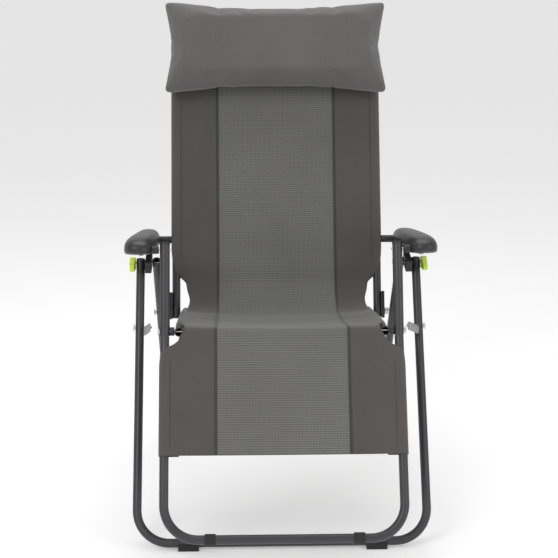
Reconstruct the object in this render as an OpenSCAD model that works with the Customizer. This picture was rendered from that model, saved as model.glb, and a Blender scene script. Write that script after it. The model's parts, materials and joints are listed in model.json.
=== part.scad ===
/* [Frame] */
// Outer diameter of the frame tubes
tube_d = 19; // [16:0.5:20]
// Wall thickness of the frame tubes
wall = 1.5; // [1:0.5:2]
// Height of the pin under each armrest
top_pin_z = 555; // [545:1:565]
// Distance of the front floor bar ahead of the armrest pin
front_reach = 311; // [300:1:320]
// Distance of the rear floor bar behind the armrest pin
rear_reach = 440; // [430:1:450]
/* [Seat] */
// Distance from the hip pin to the knee pin
seat_len = 378; // [375:1:380]
// Front-up tilt of the seat
seat_tilt = 8; // [7:0.5:9]
// Lean of the back from upright
back_lean = 19; // [18:0.5:20]
// Length of the back tubes above the hip pin
back_len = 710; // [690:1:715]
// Lean of the lower leg rest from upright
leg_lean = 27; // [26:0.5:28]
// Length of the leg rest below the knee pin
leg_len = 430; // [425:1:432]
/* [Head pillow] */
// Width of the pillow
pillow_w = 520; // [500:5:530]
// Height of the pillow
pillow_h = 210; // [190:5:215]
// Thickness of the pillow
pillow_t = 84; // [70:2:90]
/* [Hidden] */
$fn = 48;
tr = tube_d / 2;
y_shift = 5.9;          // centres the chair over its own footprint
foot_h = 4.5;
bar_z = foot_h + tr;
hip_on_leg = 185;        // from the armrest pin down the rear leg
arm_h = 172;             // hip pin to elbow pin, and knee pin to front arm pin
front_x = 310;
rear_x = 274;
leg_x = 245;
back_x = 237;
seat_x = 215;
pin_r = 3;
fit = 0.05;              // running clearance of a pin in its hole
floor_bend = 70;
cloth_t = 4;
cloth_gap = 0.6;
link_x = 288;
arm_x = 302;

function dir(a) = [sin(a), cos(a)];            // [y, z] of a line leaning back by a
top_pin = [y_shift, top_pin_z];
front_bar = [y_shift - front_reach, bar_z];
rear_bar = [y_shift + rear_reach, bar_z];
front_lean = atan2(front_reach, top_pin_z - bar_z);
rear_lean = -atan2(rear_reach, top_pin_z - bar_z);
front_len = norm(top_pin - front_bar);
rear_len = norm(top_pin - rear_bar);
hip = top_pin - hip_on_leg * dir(rear_lean);
knee = hip + seat_len * [-cos(seat_tilt), sin(seat_tilt)];
elbow = hip + arm_h * dir(back_lean);
front_arm = knee + arm_h * dir(back_lean);
end_bar = knee - leg_len * dir(leg_lean);
link_low = top_pin - 150 * dir(front_lean);
link_len = norm(knee - link_low);
link_angle = atan2(knee[1] - link_low[1], link_low[0] - knee[0]);

// Puts children at a side-view point, with their own +Z leaning back by a
module at(p, a = 0) { translate([0, p[0], p[1]]) rotate([-a, 0, 0]) children(); }
module both_sides() { children(); mirror([1, 0, 0]) children(); }
// A cylinder along X from x0 to x1
module x_rod(x0, x1, r) { translate([x0, 0, 0]) rotate([0, 90, 0]) cylinder(r = r, h = x1 - x0); }

// A U of round bar: its bottom run lies on X, its legs stand along +Z
module u_bar(half, len, bend, r) {
    both_sides() {
        translate([half, 0, bend]) cylinder(r = r, h = len - bend);
        translate([half - bend, 0, bend]) rotate([90, 90, 0])
            rotate_extrude(angle = 90) translate([bend, 0]) circle(r);
    }
    x_rod(bend - half, half - bend, r);
}
// The same U as a tube, open at its two ends
module u_tube(half, len, bend) {
    difference() {
        u_bar(half, len, bend, tr);
        u_bar(half, len + 1, bend, tr - wall);
    }
}
// Pin holes through both legs of a U, at height z along them
module pin_holes(z, x0, x1) { translate([0, 0, z]) both_sides() x_rod(x0, x1, pin_r + fit); }

module rear_leg() color("dimgray") at(rear_bar, rear_lean) difference() {
    u_tube(rear_x, rear_len + tr, floor_bend);
    pin_holes(rear_len, rear_x - 15, rear_x + 15);
    pin_holes(rear_len - hip_on_leg, rear_x - 15, rear_x + 15);
}
module front_leg() color("slategray") at(front_bar, front_lean) difference() {
    u_tube(front_x, front_len + tr, floor_bend);
    pin_holes(front_len, front_x - 15, front_x + 15);
    pin_holes(front_len - 150, front_x - 15, front_x + 15);
}
// A flat-bottomed saddle that stands a floor bar on the ground
module foot(p, x) {
    difference() {
        translate([x - 22, p[0] - 13, 0]) cube([44, 26, bar_z]);
        at(p) x_rod(x - 23, x + 23, tr + fit);
    }
}
module front_feet() color("#1c1c1e") both_sides() foot(front_bar, 200);
module rear_feet() color("#1c1c1e") both_sides() foot(rear_bar, 160);
module armrest_pins() color("silver") at(top_pin) both_sides() {
    x_rod(rear_x - 13, front_x + 26, pin_r);
    x_rod(rear_x - 16, rear_x - 13, 7);
}
module slide_blocks() color("#1d1d1f") at(top_pin, -seat_tilt) both_sides() difference() {
    translate([285, -30, -13]) cube([14, 60, 25]);
    x_rod(284, 300, pin_r + fit);
}
module lock_lever() {
    difference() {
        hull() {
            x_rod(front_x + 11, front_x + 24, 13);
            translate([0, -34, -5]) x_rod(front_x + 13, front_x + 22, 7);
        }
        x_rod(front_x + 10, front_x + 25, pin_r + fit);
    }
}
module lock_lever_right() color("yellowgreen") at(top_pin) lock_lever();
module lock_lever_left() color("yellowgreen") mirror([1, 0, 0]) lock_lever_right();
module hip_pins() color("silver") at(hip) both_sides() {
    x_rod(seat_x - 13, rear_x + 12, pin_r);
    x_rod(rear_x + 12, rear_x + 15, 7);
    x_rod(seat_x - 16, seat_x - 13, 7);
}
module hip_spacers() color("silver") at(hip) both_sides() difference() {
    x_rod(back_x + 17, rear_x - tr - 0.3, 8);
    x_rod(back_x, rear_x, pin_r);
}
module link_bolts() color("silver") at(link_low) both_sides() {
    x_rod(link_x - 5, front_x + 11, pin_r);
    x_rod(front_x + 11, front_x + 15, 7);
}
module link_straps() color("darkgray") at(link_low, link_angle - 90) both_sides() difference() {
    union() {
        translate([link_x - 1.5, -9, 0]) cube([3, 18, link_len - 26]);
        x_rod(link_x - 1.5, link_x + 1.5, 9);
        translate([0, 0, link_len - 26]) x_rod(link_x - 1.5, link_x + 1.5, 9);
    }
    x_rod(link_x - 3, link_x + 3, pin_r + fit);
    translate([0, 0, link_len - 26]) x_rod(link_x - 3, link_x + 3, pin_r + fit);
}
module seat_rails() color("dimgray") at(hip, seat_tilt - 90) both_sides() difference() {
    translate([seat_x, 0, -14]) cylinder(r = tr, h = seat_len + 28);
    translate([seat_x, 0, -15]) cylinder(r = tr - wall, h = seat_len + 30);
    x_rod(seat_x - 15, seat_x + 15, pin_r + fit);
    translate([0, 0, seat_len]) x_rod(seat_x - 15, seat_x + 15, pin_r + fit);
}
module knee_pins() color("silver") at(knee) both_sides() {
    x_rod(seat_x - 13, leg_x + 12, pin_r);
    x_rod(seat_x - 16, seat_x - 13, 7);
    x_rod(leg_x + 12, leg_x + 15, 7);
}
module knee_spacers() color("#1d1d1f") at(knee) both_sides() difference() {
    x_rod(seat_x + tr + 0.3, leg_x - tr - 1.3, 9);
    x_rod(seat_x, leg_x, pin_r);
}
module seat_sling() color("#555555") at(hip, seat_tilt - 90)
    translate([-seat_x - tr, tr + cloth_gap, 55]) cube([2 * (seat_x + tr), cloth_t, seat_len - 75]);
module back_frame() color("dimgray") at(hip, back_lean) difference() {
    translate([0, 0, back_len]) rotate([180, 0, 0]) u_tube(back_x, back_len + 14, 60);
    pin_holes(0, back_x - 15, back_x + 15);
    pin_holes(arm_h, back_x - 15, back_x + 15);
}
module hip_sockets() color("#1d1d1f") at(hip, back_lean) both_sides() difference() {
    translate([back_x + tr + 0.3, -13, -16]) cube([6, 26, 62]);
    x_rod(back_x, back_x + 20, pin_r + fit);
}
module elbow_pins() color("silver") at(elbow) both_sides() x_rod(back_x - 13, arm_x - 8, pin_r);
module elbow_washers() color("silver") at(elbow) both_sides() x_rod(back_x - 16, back_x - 13, 8);
module back_sling() color("#4e4946") at(hip, back_lean)
    translate([-back_x - tr, -tr - cloth_gap - cloth_t, 60])
        cube([2 * (back_x + tr), cloth_t, back_len - 62]);
module head_pillow() color("#5d5a5b") at(hip, back_lean)
    translate([0, -tr - 6 - pillow_t / 2, back_len + 22 - pillow_h / 2]) hull()
        for (x = [-1, 1], z = [-1, 1])
            translate([x * (pillow_w - pillow_t) / 2, 0, z * (pillow_h - pillow_t) / 2])
                sphere(d = pillow_t, $fn = 32);
module pillow_strap() color("#2b2b2b") at(hip, back_lean)
    translate([-18, tr + 1, back_len - 130]) cube([36, 2, 130]);
module leg_rest_frame() color("gray") at(end_bar, leg_lean) difference() {
    u_tube(leg_x, leg_len - 12, 70);
    pin_holes(leg_len, leg_x - 15, leg_x + 15);
}
module leg_rest_uprights() color("slategray") at(knee, back_lean) both_sides() difference() {
    translate([leg_x, 0, -10]) cylinder(r = tr + 1, h = arm_h + 20);
    translate([leg_x, 0, -11]) cylinder(r = tr - wall, h = arm_h + 22);
    x_rod(leg_x - 15, leg_x + 15, pin_r + fit);
    translate([0, 0, arm_h]) x_rod(leg_x - 15, leg_x + 15, pin_r + fit);
}
module leg_rest_caps() color("#1d1d1f") at(front_arm, back_lean) both_sides()
    translate([leg_x, 0, 10]) cylinder(r = tr + 1.5, h = 5);
module leg_rest_pads() color("#1d1d1f") at(end_bar, leg_lean) both_sides() difference() {
    x_rod(140, 162, tr + 2.5);
    x_rod(139, 163, tr);
}
module front_arm_pins() color("silver") at(front_arm) both_sides()
    x_rod(leg_x - 13, arm_x - 8, pin_r);
module leg_sling() color("#555250") at(end_bar, leg_lean)
    translate([-leg_x - tr, -tr - cloth_gap - cloth_t, leg_len - 235]) cube([2 * (leg_x + tr), cloth_t, 210]);
// Steel rail inside an armrest, from the elbow pin to the front arm pin
module armrest_core() difference() {
    translate([arm_x - 12, -11, -16]) cube([8, 22, seat_len + 32]);
    x_rod(arm_x - 20, arm_x, pin_r + fit);
    translate([0, 0, seat_len]) x_rod(arm_x - 20, arm_x, pin_r + fit);
}
module armrest_core_right() color("#8a8a8c") at(elbow, seat_tilt - 90) armrest_core();
module armrest_core_left() color("#8a8a8c") mirror([1, 0, 0]) armrest_core_right();
module armrest_shell() translate([arm_x - 2, 12, -45]) hull() for (z = [16, seat_len + 72]) {
    translate([-24, 8, z]) sphere(r = 8, $fn = 32);
    translate([24, 8, z]) sphere(r = 8, $fn = 32);
    translate([0, 18, z]) sphere(r = 7, $fn = 32);
}
module armrest_shell_right() color("#343435") at(elbow, seat_tilt - 90) armrest_shell();
module armrest_shell_left() color("#343435") mirror([1, 0, 0]) armrest_shell_right();

rear_leg();
front_leg();
rear_feet();
front_feet();
armrest_pins();
slide_blocks();
lock_lever_left();
lock_lever_right();
hip_pins();
hip_spacers();
link_bolts();
link_straps();
seat_rails();
knee_pins();
knee_spacers();
seat_sling();
back_frame();
hip_sockets();
elbow_pins();
elbow_washers();
back_sling();
head_pillow();
pillow_strap();
leg_rest_frame();
leg_rest_uprights();
leg_rest_caps();
leg_rest_pads();
front_arm_pins();
leg_sling();
armrest_core_left();
armrest_core_right();
armrest_shell_left();
armrest_shell_right();
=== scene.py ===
import json
import math

import bpy
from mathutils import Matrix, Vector


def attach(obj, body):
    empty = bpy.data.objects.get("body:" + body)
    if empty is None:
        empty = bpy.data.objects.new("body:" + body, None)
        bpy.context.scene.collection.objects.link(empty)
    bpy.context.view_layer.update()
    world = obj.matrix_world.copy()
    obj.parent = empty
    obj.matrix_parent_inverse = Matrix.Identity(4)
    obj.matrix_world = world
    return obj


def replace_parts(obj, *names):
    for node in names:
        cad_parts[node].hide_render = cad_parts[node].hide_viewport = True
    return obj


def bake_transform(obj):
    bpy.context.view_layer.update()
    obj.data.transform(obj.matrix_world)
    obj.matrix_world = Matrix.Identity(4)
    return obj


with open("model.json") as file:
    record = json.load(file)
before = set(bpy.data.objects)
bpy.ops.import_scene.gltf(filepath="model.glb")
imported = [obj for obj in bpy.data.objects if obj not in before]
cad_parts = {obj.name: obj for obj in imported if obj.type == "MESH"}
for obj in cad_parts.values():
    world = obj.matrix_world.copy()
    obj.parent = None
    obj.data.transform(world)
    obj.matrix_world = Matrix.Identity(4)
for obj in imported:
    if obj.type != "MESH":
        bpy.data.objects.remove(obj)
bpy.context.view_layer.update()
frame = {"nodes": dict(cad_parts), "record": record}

JOINTS = {j["name"]: Vector(j["pos_m"]) for j in frame["record"]["behaviour"]["joints"]}
HIP, KNEE = JOINTS["recline"], JOINTS["knee_turn"]
BACK_LEAN, LEG_LEAN, SEAT_TILT = (math.radians(a) for a in (19, 27, 8))  # as in part.scad
UP_BACK = Vector((0, math.sin(BACK_LEAN), math.cos(BACK_LEAN)))
FRONT_OF_BACK = Vector((0, -math.cos(BACK_LEAN), math.sin(BACK_LEAN)))
FORWARD = Vector((0, -math.cos(SEAT_TILT), math.sin(SEAT_TILT)))
OVER_SEAT = Vector((0, math.sin(SEAT_TILT), math.cos(SEAT_TILT)))
DOWN_LEG = Vector((0, -math.sin(LEG_LEAN), -math.cos(LEG_LEAN)))
FRONT_OF_LEG = Vector((0, -math.cos(LEG_LEAN), math.sin(LEG_LEAN)))
TUBE_R = 0.0095
SLEEVE_R = TUBE_R + 0.0016  # the sling's sleeve round a tube
BACK_X, SEAT_X, LEG_X = 0.237, 0.215, 0.245  # half the distance between each stretch's tubes
MESH_X = 0.136  # half the width of the mesh panel
TAPE_W, TAPE_T = 0.006, 0.0011  # the seam tape beside the mesh panel
CLOTH_T = 0.0011
BACK_LEN = 0.710
SEAT_LEN = (KNEE - HIP).length
LEG_CLOTH = 0.261  # how far the sling reaches below the knee pin


# ---- materials ----
class Nodes:
    """A short way to write a node tree."""

    def __init__(self, name, colour, roughness, **shader):
        self.mat = bpy.data.materials.new(name)
        self.mat.use_nodes = True
        self.tree = self.mat.node_tree
        self.shader = self.tree.nodes["Principled BSDF"]
        self.shader.inputs["Base Color"].default_value = (*colour, 1)
        self.shader.inputs["Roughness"].default_value = roughness
        for key, value in shader.items():
            self.shader.inputs[key.replace("_", " ").title()].default_value = value

    def feed(self, socket, value):
        """Links the value if it is a socket, and sets it if it is not."""
        if isinstance(value, bpy.types.NodeSocket):
            self.tree.links.new(value, socket)
        else:
            socket.default_value = value

    def add(self, kind, **inputs):
        n = self.tree.nodes.new(kind)
        for key, value in inputs.items():
            self.feed(n.inputs[key], value)
        return n

    def math(self, operation, a, b=None):
        n = self.tree.nodes.new("ShaderNodeMath")
        n.operation = operation
        for i, value in enumerate((a, b)):
            if value is not None:
                self.feed(n.inputs[i], value)
        return n.outputs[0]

    def mix(self, factor, a, b):
        n = self.tree.nodes.new("ShaderNodeMix")
        n.data_type = "RGBA"
        self.feed(n.inputs[0], factor)
        for i, colour in ((6, a), (7, b)):
            is_socket = isinstance(colour, bpy.types.NodeSocket)
            self.feed(n.inputs[i], colour if is_socket else (*colour, 1))
        return n.outputs[2]

    def noise(self, where, scale, detail=3.0):
        n = self.add("ShaderNodeTexNoise", Vector=where, Scale=scale, Detail=detail)
        return n.outputs["Fac"]

    def bump(self, height, depth, strength=0.6):
        n = self.add("ShaderNodeBump", Height=height, Distance=depth, Strength=strength)
        self.tree.links.new(n.outputs[0], self.shader.inputs["Normal"])

    def to(self, socket, name):
        self.tree.links.new(socket, self.shader.inputs[name])

    def place(self, output="Object"):
        return self.add("ShaderNodeTexCoord").outputs[output]


def shade(colour, times):
    return tuple(min(1, c * times) for c in colour)


def painted(name, colour, roughness=0.38, metallic=0.35):
    m = Nodes(name, colour, roughness, metallic=metallic)
    grain = m.noise(m.place(), 900)
    patch = m.noise(m.place(), 14, 5)
    m.to(m.mix(patch, shade(colour, 0.82), shade(colour, 1.22)), "Base Color")
    m.to(m.math("ADD", m.math("MULTIPLY", grain, 0.16), roughness - 0.08), "Roughness")
    m.bump(grain, 0.0002, 0.35)
    return m.mat


def plastic(name, colour, roughness, grain_size=700):
    m = Nodes(name, colour, roughness)
    grain = m.noise(m.place(), grain_size)
    wear = m.noise(m.place(), 22, 4)
    m.to(m.mix(wear, shade(colour, 0.85), shade(colour, 1.3)), "Base Color")
    m.to(m.math("ADD", m.math("MULTIPLY", wear, 0.2), roughness - 0.1), "Roughness")
    m.bump(grain, 0.0003, 0.4)
    return m.mat


def weave_wave(m, axis_value, pitch):
    return m.math("SINE", m.math("MULTIPLY", axis_value, 2 * math.pi / pitch))


def woven(name, colour, pitch, coords="UV", depth=0.0004):
    """A plain weave: its threads cross at the pitch."""
    m = Nodes(name, colour, 0.85)
    m.shader.inputs["Sheen Weight"].default_value = 0.25
    m.shader.inputs["Sheen Roughness"].default_value = 0.5
    split = m.add("ShaderNodeSeparateXYZ", Vector=m.place(coords))
    across, along = split.outputs[0], split.outputs[1 if coords == "UV" else 2]
    threads = m.math("MULTIPLY", weave_wave(m, across, pitch), weave_wave(m, along, pitch))
    slub = m.noise(m.place(coords), 160, 4)
    cloud = m.noise(m.place("Object"), 9, 4)
    height = m.math("ADD", m.math("MULTIPLY", threads, 0.5), slub)
    tone = m.math("ADD", m.math("MULTIPLY", height, 0.35), m.math("MULTIPLY", cloud, 0.5))
    m.to(m.mix(tone, shade(colour, 0.66), shade(colour, 1.4)), "Base Color")
    m.bump(height, depth, 0.55)
    return m.mat


def open_mesh(name, thread, hole, pitch):
    """A painted mesh: rows of small dark lozenges, standing for holes, between lighter threads."""
    m = Nodes(name, thread, 0.7)
    m.shader.inputs["Sheen Weight"].default_value = 0.2
    split = m.add("ShaderNodeSeparateXYZ", Vector=m.place("UV"))
    across, along = split.outputs[0], m.math("MULTIPLY", split.outputs[1], 0.62)
    rise = m.math("ADD", across, along)
    fall = m.math("SUBTRACT", across, along)
    lattice = m.math("MULTIPLY", weave_wave(m, rise, pitch), weave_wave(m, fall, pitch))
    open_at = m.math("GREATER_THAN", lattice, 0.28)
    cloud = m.noise(m.place("Object"), 7, 4)
    solid = m.mix(cloud, shade(thread, 0.8), shade(thread, 1.2))
    m.to(m.mix(open_at, solid, hole), "Base Color")
    m.bump(m.math("MULTIPLY", lattice, -1.0), 0.0008, 0.6)
    return m.mat


TUBE = painted("tube_paint", (0.040, 0.039, 0.042))
LIGHT_TUBE = painted("light_tube_paint", (0.050, 0.048, 0.053))
STRAP_STEEL = painted("strap_paint", (0.26, 0.26, 0.27), 0.42)
STEEL = painted("plated_steel", (0.62, 0.62, 0.60), 0.3, 1.0)
RUBBER = plastic("foot_rubber", (0.014, 0.014, 0.014), 0.75, 500)
BLACK = plastic("black_plastic", (0.016, 0.016, 0.018), 0.45)
ARMREST = plastic("armrest_plastic", (0.019, 0.019, 0.020), 0.36, 1100)
LIME = plastic("lime_plastic", (0.54, 0.74, 0.02), 0.3)
CLOTH = woven("sling_cloth", (0.076, 0.067, 0.061), 0.0022)
MESH = open_mesh("sling_mesh", (0.150, 0.150, 0.138), (0.055, 0.054, 0.050), 0.0062)
PIPING = woven("seam_tape", (0.035, 0.040, 0.034), 0.0018)
PILLOW = woven("pillow_cloth", (0.105, 0.096, 0.097), 0.0026, "Object")
WEBBING = woven("webbing", (0.020, 0.020, 0.020), 0.0030, "Object")

FINISH = {
    "tube": TUBE, "light_tube": LIGHT_TUBE, "strap_steel": STRAP_STEEL, "steel": STEEL,
    "pad_rubber": RUBBER, "black_plastic": BLACK, "armrest_plastic": ARMREST,
    "lime_plastic": LIME, "sling_fabric": CLOTH, "pillow_fabric": PILLOW, "webbing": WEBBING,
}
for part in frame["record"]["subparts"]:
    node = frame["nodes"][part["node"]]
    node.data.materials.clear()
    node.data.materials.append(FINISH[part["material_slot"]])


# ---- mesh helpers ----
def new_mesh(name, points, faces, materials, smooth=True):
    data = bpy.data.meshes.new(name)
    data.from_pydata([tuple(p) for p in points], [], faces)
    for m in materials:
        data.materials.append(m)
    for f in data.polygons:
        f.use_smooth = smooth
    piece = bpy.data.objects.new(name, data)
    bpy.context.collection.objects.link(piece)
    return piece


def apply(piece, kind, **settings):
    """Adds one modifier and applies it."""
    m = piece.modifiers.new(kind, kind)
    for key, value in settings.items():
        setattr(m, key, value)
    bpy.context.view_layer.objects.active = piece
    bpy.ops.object.modifier_apply(modifier=m.name)


def ease(t):
    t = max(0.0, min(1.0, t))
    return t * t * (3 - 2 * t)


# ---- the sling ----
MESH_STEPS, TAPE_STEPS, BORDER_STEPS, TURN_STEPS, TAIL_STEPS = 12, 3, 8, 8, 3  # faces across half the sling
ROW_GAP = 0.006
HEM_X = 0.200  # half the width at the hip and knee cut-outs
SPLIT = SEAT_LEN / 2  # where the upper and the lower stretch meet
MIDDLE_KEY = 12  # the key at SPLIT


def spline(keys, gap):
    """Rows of (place, half width, sleeve, sag) through the keys, and the row that each span starts at."""
    rows, starts = [], []
    for i in range(len(keys) - 1):
        starts.append(len(rows))
        a, b, c, d = (keys[max(0, min(len(keys) - 1, i + k))] for k in (-1, 0, 1, 2))
        count = max(2, round((c[0] - b[0]).length / gap))
        for s in range(count + (i == len(keys) - 2)):
            t = s / count
            w = [-t + 2 * t * t - t**3, 2 - 5 * t * t + 3 * t**3, t + 4 * t * t - 3 * t**3, t**3 - t * t]
            place = (a[0] * w[0] + b[0] * w[1] + c[0] * w[2] + d[0] * w[3]) / 2
            half, sleeve, sag = (b[k] + (c[k] - b[k]) * ease(t) for k in (1, 2, 3))
            rows.append((place, half, sleeve, sag))
    return rows, starts


def profile(half, sleeve, sag):
    """Half of the sling's cross-section, from the middle outwards, as (x, height)."""
    outline = []

    def lay(x, rise=0.0):
        outline.append((x, rise - sag * (1 - (x / half) ** 2)))

    for i in range(MESH_STEPS + 1):
        lay(MESH_X * i / MESH_STEPS)
    for share, rise in ((0.2, TAPE_T), (0.8, TAPE_T), (1, 0.0)):
        lay(MESH_X + TAPE_W * share, rise)
    border = MESH_X + TAPE_W
    for i in range(1, BORDER_STEPS + 1):
        lay(border + (half - border) * i / BORDER_STEPS)
    turn = math.pi * (0.12 + 0.88 * sleeve)
    for i in range(1, TURN_STEPS + 1):
        a = turn * i / TURN_STEPS
        outline.append((half + SLEEVE_R * math.sin(a), SLEEVE_R * (math.cos(a) - 1)))
    end_x, end_h = outline[-1]
    for i in range(1, TAIL_STEPS + 1):
        outline.append((end_x - 0.010 * sleeve * i, end_h + 0.0006 * i))
    return outline


def sling(name, rows, first, last):
    """One stretch of the sling, from its row first to its row last."""
    points, lengths, run = [], [], 0.0
    for r, (place, half, sleeve, sag) in enumerate(rows):
        before, after = rows[max(0, r - 1)][0], rows[min(len(rows) - 1, r + 1)][0]
        out = (after - before).normalized().cross(Vector((1, 0, 0)))
        run += (place - before).length if r else 0.0
        if not first <= r <= last:
            continue
        lengths.append(run)
        side = profile(half, sleeve, sag)
        ring = [(-x, h) for x, h in reversed(side[1:])] + side
        points += [place + Vector((x, 0, 0)) + out * h for x, h in ring]
    width = len(points) // len(lengths)
    faces = []
    for r in range(len(lengths) - 1):
        for c in range(width - 1):
            k = r * width + c
            faces.append((k, k + 1, k + width + 1, k + width))
    piece = new_mesh(name, points, faces, [CLOTH, MESH, PIPING])
    uv = piece.data.uv_layers.new(name="cloth")
    for f in piece.data.polygons:
        off = abs(f.vertices[0] % width + 0.5 - width // 2)
        f.material_index = 1 if off < MESH_STEPS else 2 if off < MESH_STEPS + TAPE_STEPS else 0
        for loop in f.loop_indices:
            v = piece.data.loops[loop].vertex_index
            uv.data[loop].uv = (piece.data.vertices[v].co.x, lengths[v // width])
    apply(piece, "SOLIDIFY", thickness=CLOTH_T, offset=0.0)
    return piece


def key(origin, along, distance, out, lift, half, sleeve, sag):
    return (origin + along * distance + out * lift, half, sleeve, sag)


def keys_over(origin, along, out):
    """Gives a maker of keys that lie on the tubes of one straight stretch."""
    def at(distance, half, sleeve, sag):
        return key(origin, along, distance, out, SLEEVE_R, half, sleeve, sag)
    return at


back_at = keys_over(HIP, UP_BACK, FRONT_OF_BACK)
seat_at = keys_over(HIP, FORWARD, OVER_SEAT)
leg_at = keys_over(KNEE, DOWN_LEG, FRONT_OF_LEG)

KEYS = [
    key(HIP, UP_BACK, BACK_LEN - 0.004, FRONT_OF_BACK, -SLEEVE_R, BACK_X - 0.045, 0.0, 0.0),
    key(HIP, UP_BACK, BACK_LEN + SLEEVE_R, FRONT_OF_BACK, 0.0, BACK_X - 0.045, 0.0, 0.0),
    back_at(BACK_LEN - 0.012, BACK_X - 0.012, 0.2, 0.001),
    back_at(BACK_LEN - 0.070, BACK_X, 1.0, 0.004),
    back_at(0.50, BACK_X, 1.0, 0.010),
    back_at(0.30, BACK_X, 1.0, 0.013),
    back_at(0.16, BACK_X, 1.0, 0.012),
    back_at(0.105, BACK_X - 0.004, 0.8, 0.010),
    back_at(0.065, HEM_X + 0.006, 0.1, 0.008),
    (HIP + UP_BACK * 0.030 + FORWARD * 0.035, HEM_X, 0.0, 0.006),
    seat_at(0.075, HEM_X + 0.004, 0.1, 0.008),
    seat_at(0.110, SEAT_X, 1.0, 0.012),
    seat_at(SPLIT, SEAT_X, 1.0, 0.016),
    seat_at(SEAT_LEN - 0.090, SEAT_X, 1.0, 0.012),
    seat_at(SEAT_LEN - 0.050, HEM_X + 0.006, 0.1, 0.008),
    seat_at(SEAT_LEN - 0.008, HEM_X, 0.0, 0.004),
    (KNEE + FORWARD * 0.014 + OVER_SEAT * 0.006, HEM_X, 0.0, 0.003),
    leg_at(0.022, HEM_X + 0.010, 0.1, 0.003),
    leg_at(0.046, LEG_X - 0.002, 0.9, 0.004),
    leg_at(0.080, LEG_X, 1.0, 0.006),
    leg_at(0.150, LEG_X, 1.0, 0.007),
    leg_at(LEG_CLOTH, LEG_X, 1.0, 0.006),
]
ROWS, STARTS = spline(KEYS, ROW_GAP)
upper = sling("sling_upper", ROWS, 0, STARTS[MIDDLE_KEY])
lower = sling("sling_lower", ROWS, STARTS[MIDDLE_KEY], len(ROWS) - 1)
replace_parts(upper, "back_sling", "seat_sling")
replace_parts(lower, "leg_sling")
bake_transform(upper)
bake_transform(lower)


# ---- pillow ----
PILLOW_W, PILLOW_H, PILLOW_T = 0.530, 0.222, 0.060
PILLOW_DROP, PILLOW_OUT = 0.088, 0.0565  # its middle, below the back's top and in front of its tubes
PILLOW_MID = HIP + UP_BACK * (BACK_LEN - PILLOW_DROP) + FRONT_OF_BACK * PILLOW_OUT
VOXEL = 0.007
SWELL, BACK_SWELL = 0.022, 0.007  # the furthest it swells, and the same on the side against the back
SWELL_FRAMES = 20
IN_PLANE = 0.35  # the share of its pull-in that a stuffed cover shows


def pillow():
    nx, nz, ny = 44, 18, 5
    points, faces, index = [], [], {}
    square = ((0, 0), (1, 0), (1, 1), (0, 1))

    def vertex(i, j, k):
        if (i, j, k) not in index:
            index[i, j, k] = len(points)
            u, v, w = 2 * i / nx - 1, 2 * j / nz - 1, 2 * k / ny - 1
            pull_x = 1 - 0.030 * (1 - v * v)
            pull_z = 1 - 0.050 * (1 - u * u)
            rim = 0.40 + 0.60 * (max(0.0, 1 - u**8) * max(0.0, 1 - v**6)) ** 0.5
            points.append(Vector((u * PILLOW_W / 2 * pull_x, w * PILLOW_T / 2 * rim,
                                  v * PILLOW_H / 2 * pull_z)))
        return index[i, j, k]

    def skin(count_a, count_b, corner):
        for a in range(count_a):
            for b in range(count_b):
                faces.append(tuple(vertex(*corner(a + s, b + t)) for s, t in square))

    skin(nx, nz, lambda a, b: (a, b, 0))
    skin(nx, nz, lambda a, b: (nx - a, b, ny))
    skin(nx, ny, lambda a, b: (nx - a, 0, b))
    skin(nx, ny, lambda a, b: (a, nz, b))
    skin(ny, nz, lambda a, b: (0, b, ny - a))
    skin(ny, nz, lambda a, b: (nx, b, a))
    piece = new_mesh("pillow", points, faces, [PILLOW])
    inflate(piece)
    apply(piece, "SUBSURF", levels=1)
    flat_back = PILLOW_T / 2 + BACK_SWELL  # the side against the back is pressed flat here
    lean = Vector((0, 0, 1)).rotation_difference(UP_BACK)
    for v in piece.data.vertices:
        v.co.y = min(v.co.y, flat_back)
        u, w = v.co.x / (PILLOW_W / 2), v.co.z / (PILLOW_H / 2)
        pull = math.sin(v.co.x * 83 + 4 * w) + math.sin(v.co.x * 131 + 1.7)
        gather = 0.0005 * pull * ease(abs(w) * 1.6 - 0.6)
        v.co.y += gather + 0.002 * math.sin(u * 5.1 + w * 2.2)
        v.co = lean @ v.co + PILLOW_MID
    piece.data.update()
    for f in piece.data.polygons:
        f.use_smooth = True
    return piece


def inflate(piece):
    """Swells a closed form like a stuffed cushion, and moves no point further than SWELL."""
    apply(piece, "REMESH", mode="VOXEL", voxel_size=VOXEL)
    rest = [v.co.copy() for v in piece.data.vertices]
    cloth = piece.modifiers.new("cloth", "CLOTH")
    cloth.settings.use_pressure = True
    cloth.settings.uniform_pressure_force = 4
    cloth.settings.effector_weights.gravity = 0
    cloth.settings.tension_stiffness = 15
    cloth.point_cache.frame_start, cloth.point_cache.frame_end = 1, SWELL_FRAMES
    for f in range(1, SWELL_FRAMES + 1):
        bpy.context.scene.frame_set(f)
    graph = bpy.context.evaluated_depsgraph_get()
    swollen = [v.co.copy() for v in piece.evaluated_get(graph).data.vertices]
    piece.modifiers.remove(cloth)
    for v, a, b in zip(piece.data.vertices, rest, swollen):
        move = b - a
        move.x, move.z = move.x * IN_PLANE, move.z * IN_PLANE
        v.co = a + move * min(1, SWELL / max(move.length, 1e-6))
    bpy.context.scene.frame_set(1)


head = pillow()
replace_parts(head, "head_pillow")
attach(head, "back")


# ---- armrests ----
ARM_X = 0.300  # the middle of an armrest cover
ARM_LIFT = 0.001
PAST_ELBOW, PAST_FRONT_PIN = 0.036, 0.034
SKIRT = 0.013  # how far an armrest cover reaches below its middle line
BUSH_R = 0.0085
ELBOW_BUSH_X, FRONT_BUSH_X, BUSH_END_X = 0.2485, 0.2575, 0.2885


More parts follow.
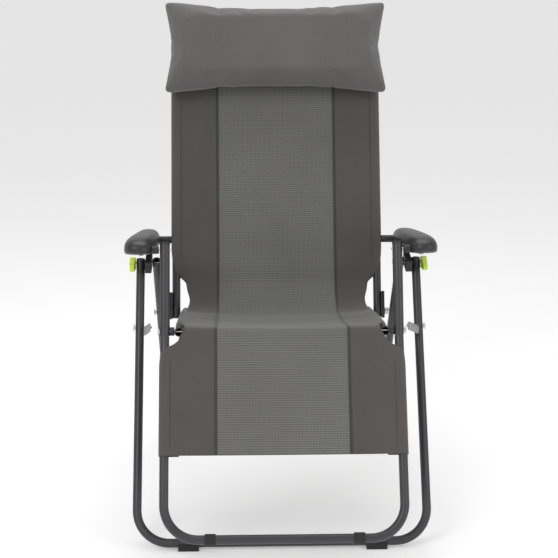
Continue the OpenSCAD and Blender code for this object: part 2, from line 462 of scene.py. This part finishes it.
def bush(name, body, centre, x0, x1):
    """A round bush along X with rounded rims."""
    rim, around, points, faces = 0.0015, 32, [], []
    rings = ((x0, BUSH_R - rim), (x0 + rim * 0.3, BUSH_R - rim * 0.3), (x0 + rim, BUSH_R),
             (x1 - rim, BUSH_R), (x1 - rim * 0.3, BUSH_R - rim * 0.3), (x1, BUSH_R - rim))
    for x, r in rings:
        for a in range(around):
            q = 2 * math.pi * a / around
            points.append(Vector((x, centre.y + r * math.cos(q), centre.z + r * math.sin(q))))
    for ring in range(len(rings) - 1):
        for a in range(around):
            b = (a + 1) % around
            faces.append((ring * around + a, (ring + 1) * around + a,
                          (ring + 1) * around + b, ring * around + b))
    last = len(points) - around
    faces += [tuple(range(around)), tuple(last + a for a in reversed(range(around)))]
    piece = new_mesh(name, points, faces, [BLACK])
    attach(piece, body)


def armrest(side, name):
    elbow = JOINTS["elbow_turn"]
    rear, front = elbow - FORWARD * PAST_ELBOW, elbow + FORWARD * (SEAT_LEN + PAST_FRONT_PIN)
    length = (front - rear).length
    rings, around = 30, 28
    points, faces = [], []
    for r in range(rings + 1):
        t = r / rings
        s = 2 * t - 1
        end = max(0.0, 1 - abs(s) ** 7) ** 0.5
        half_w = (0.027 + 0.007 * ease((t - 0.3) * 1.6)) * (0.40 + 0.60 * end)
        crown = (0.026 + 0.003 * math.sin(math.pi * t)) * (0.30 + 0.70 * end)
        middle = rear + FORWARD * (length * t) + OVER_SEAT * ARM_LIFT
        for a in range(around):
            q = 2 * math.pi * a / around
            c, n = math.cos(q), math.sin(q)
            x = half_w * math.copysign(abs(c) ** 0.75, c)
            h = crown * (abs(n) ** 0.85) if n > 0 else -SKIRT * (0.4 + 0.6 * end) * abs(n) ** 0.35
            points.append(middle + Vector((side * (ARM_X + x), 0, 0)) + OVER_SEAT * h)
    for r in range(rings):
        for a in range(around):
            b = (a + 1) % around
            faces.append((r * around + a, r * around + b, (r + 1) * around + b, (r + 1) * around + a))
    faces += [tuple(reversed(range(around))), tuple(rings * around + a for a in range(around))]
    if side < 0:
        faces = [tuple(reversed(f)) for f in faces]
    piece = new_mesh(name, points, faces, [ARMREST])
    apply(piece, "SUBSURF", levels=1)
    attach(piece, "armrests")
    return piece


for side, word in ((-1, "left"), (1, "right")):
    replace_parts(armrest(side, f"armrest_cover_{word}"), f"armrest_shell_{word}")
    inner, outer = sorted((side * ELBOW_BUSH_X, side * BUSH_END_X))
    bush(f"elbow_bush_{word}", "back", JOINTS["elbow_turn"], inner, outer)
    front_pin = JOINTS["elbow_turn"] + FORWARD * SEAT_LEN
    inner, outer = sorted((side * FRONT_BUSH_X, side * BUSH_END_X))
    bush(f"front_bush_{word}", "leg_rest", front_pin, inner, outer)

# ---- stitch rows ----
STITCH = 0.006  # from one stitch to the next
THREAD_R = 0.0005
SEAM_INSET, SEAM_SINK = 0.012, 0.0002


def stitches(name, body, line, out):
    """A row of short raised threads along a straight line between two points."""
    points, faces = [], []
    a, b = line
    count = int((b - a).length / STITCH)
    along = (b - a).normalized()
    side = along.cross(out).normalized()
    for i in range(count):
        middle = a + along * (STITCH * (i + 0.5))
        base = len(points)
        for s, h in ((-1, 0), (-0.6, 1), (0.6, 1), (1, 0)):
            for t in (-1, 1):
                points.append(middle + along * (s * STITCH * 0.36) + side * (t * THREAD_R)
                              + out * (THREAD_R * h + 0.0004))
        faces += [(base + 2 * k, base + 2 * k + 1, base + 2 * k + 3, base + 2 * k + 2) for k in range(3)]
        faces.append((base, base + 6, base + 7, base + 1))
        faces += [(base, base + 2, base + 4, base + 6), (base + 1, base + 7, base + 5, base + 3)]
    piece = new_mesh(name, points, faces, [PIPING], smooth=False)
    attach(piece, body)


for side, word in ((-1, "left"), (1, "right")):
    for stretch, body, origin, along, out, start, stop, x in (
        ("back", "back", HIP, UP_BACK, FRONT_OF_BACK, 0.13, 0.56, BACK_X),
        ("leg", "leg_rest", KNEE, DOWN_LEG, FRONT_OF_LEG, 0.06, LEG_CLOTH - 0.01, LEG_X),
    ):
        shift = Vector((side * (x - SEAM_INSET), 0, 0)) + out * (SLEEVE_R - SEAM_SINK)
        ends = [origin + along * d + shift for d in (start, stop)]
        stitches(f"stitch_{stretch}_{word}", body, ends, out)

# ---- floor, light and camera ----
bpy.ops.mesh.primitive_plane_add(size=200, location=(0, 0, -0.0005))
floor = bpy.context.object
floor.name = "floor"
ground = Nodes("floor_white", (0.90, 0.90, 0.90), 0.9)
ground.shader.inputs["Emission Color"].default_value = (1, 1, 1, 1)
ground.shader.inputs["Emission Strength"].default_value = 0.22
floor.data.materials.append(ground.mat)

world = bpy.data.worlds.new("studio")
bpy.context.scene.world = world
world.use_nodes = True
world.node_tree.nodes["Background"].inputs[0].default_value = (1, 1, 1, 1)
world.node_tree.nodes["Background"].inputs[1].default_value = 0.62

MIDDLE = Vector((0, 0, 0.6))  # what the lamps point at


def lamp(name, place, power, size):
    data = bpy.data.lights.new(name, "AREA")
    data.energy, data.size = power, size
    lamp_object = bpy.data.objects.new(name, data)
    lamp_object.location = place
    lamp_object.rotation_euler = (MIDDLE - Vector(place)).to_track_quat("-Z", "Y").to_euler()
    bpy.context.collection.objects.link(lamp_object)


lamp("key", (-1.6, -2.6, 2.6), 34, 1.6)
lamp("fill", (2.2, -2.0, 1.6), 16, 1.8)
lamp("top", (0, 0.6, 3.0), 26, 2.0)

FOCAL_PX, IMAGE_PX, SENSOR_MM = 1424, 558, 36  # the focal length is given in widths of a pixel
DOWN_DEG, RIGHT_DEG = 12.8, 1.66  # how the camera is turned from level and straight ahead
view = bpy.data.cameras.new("camera")
view.sensor_width = SENSOR_MM
view.lens = SENSOR_MM * FOCAL_PX / IMAGE_PX
eye = bpy.data.objects.new("camera", view)
eye.location = (-0.09, -3.133, 1.230)
eye.rotation_euler = (math.radians(90 - DOWN_DEG), 0, math.radians(-RIGHT_DEG))
bpy.context.collection.objects.link(eye)
bpy.context.scene.camera = eye
bpy.context.scene.view_settings.view_transform = "Standard"
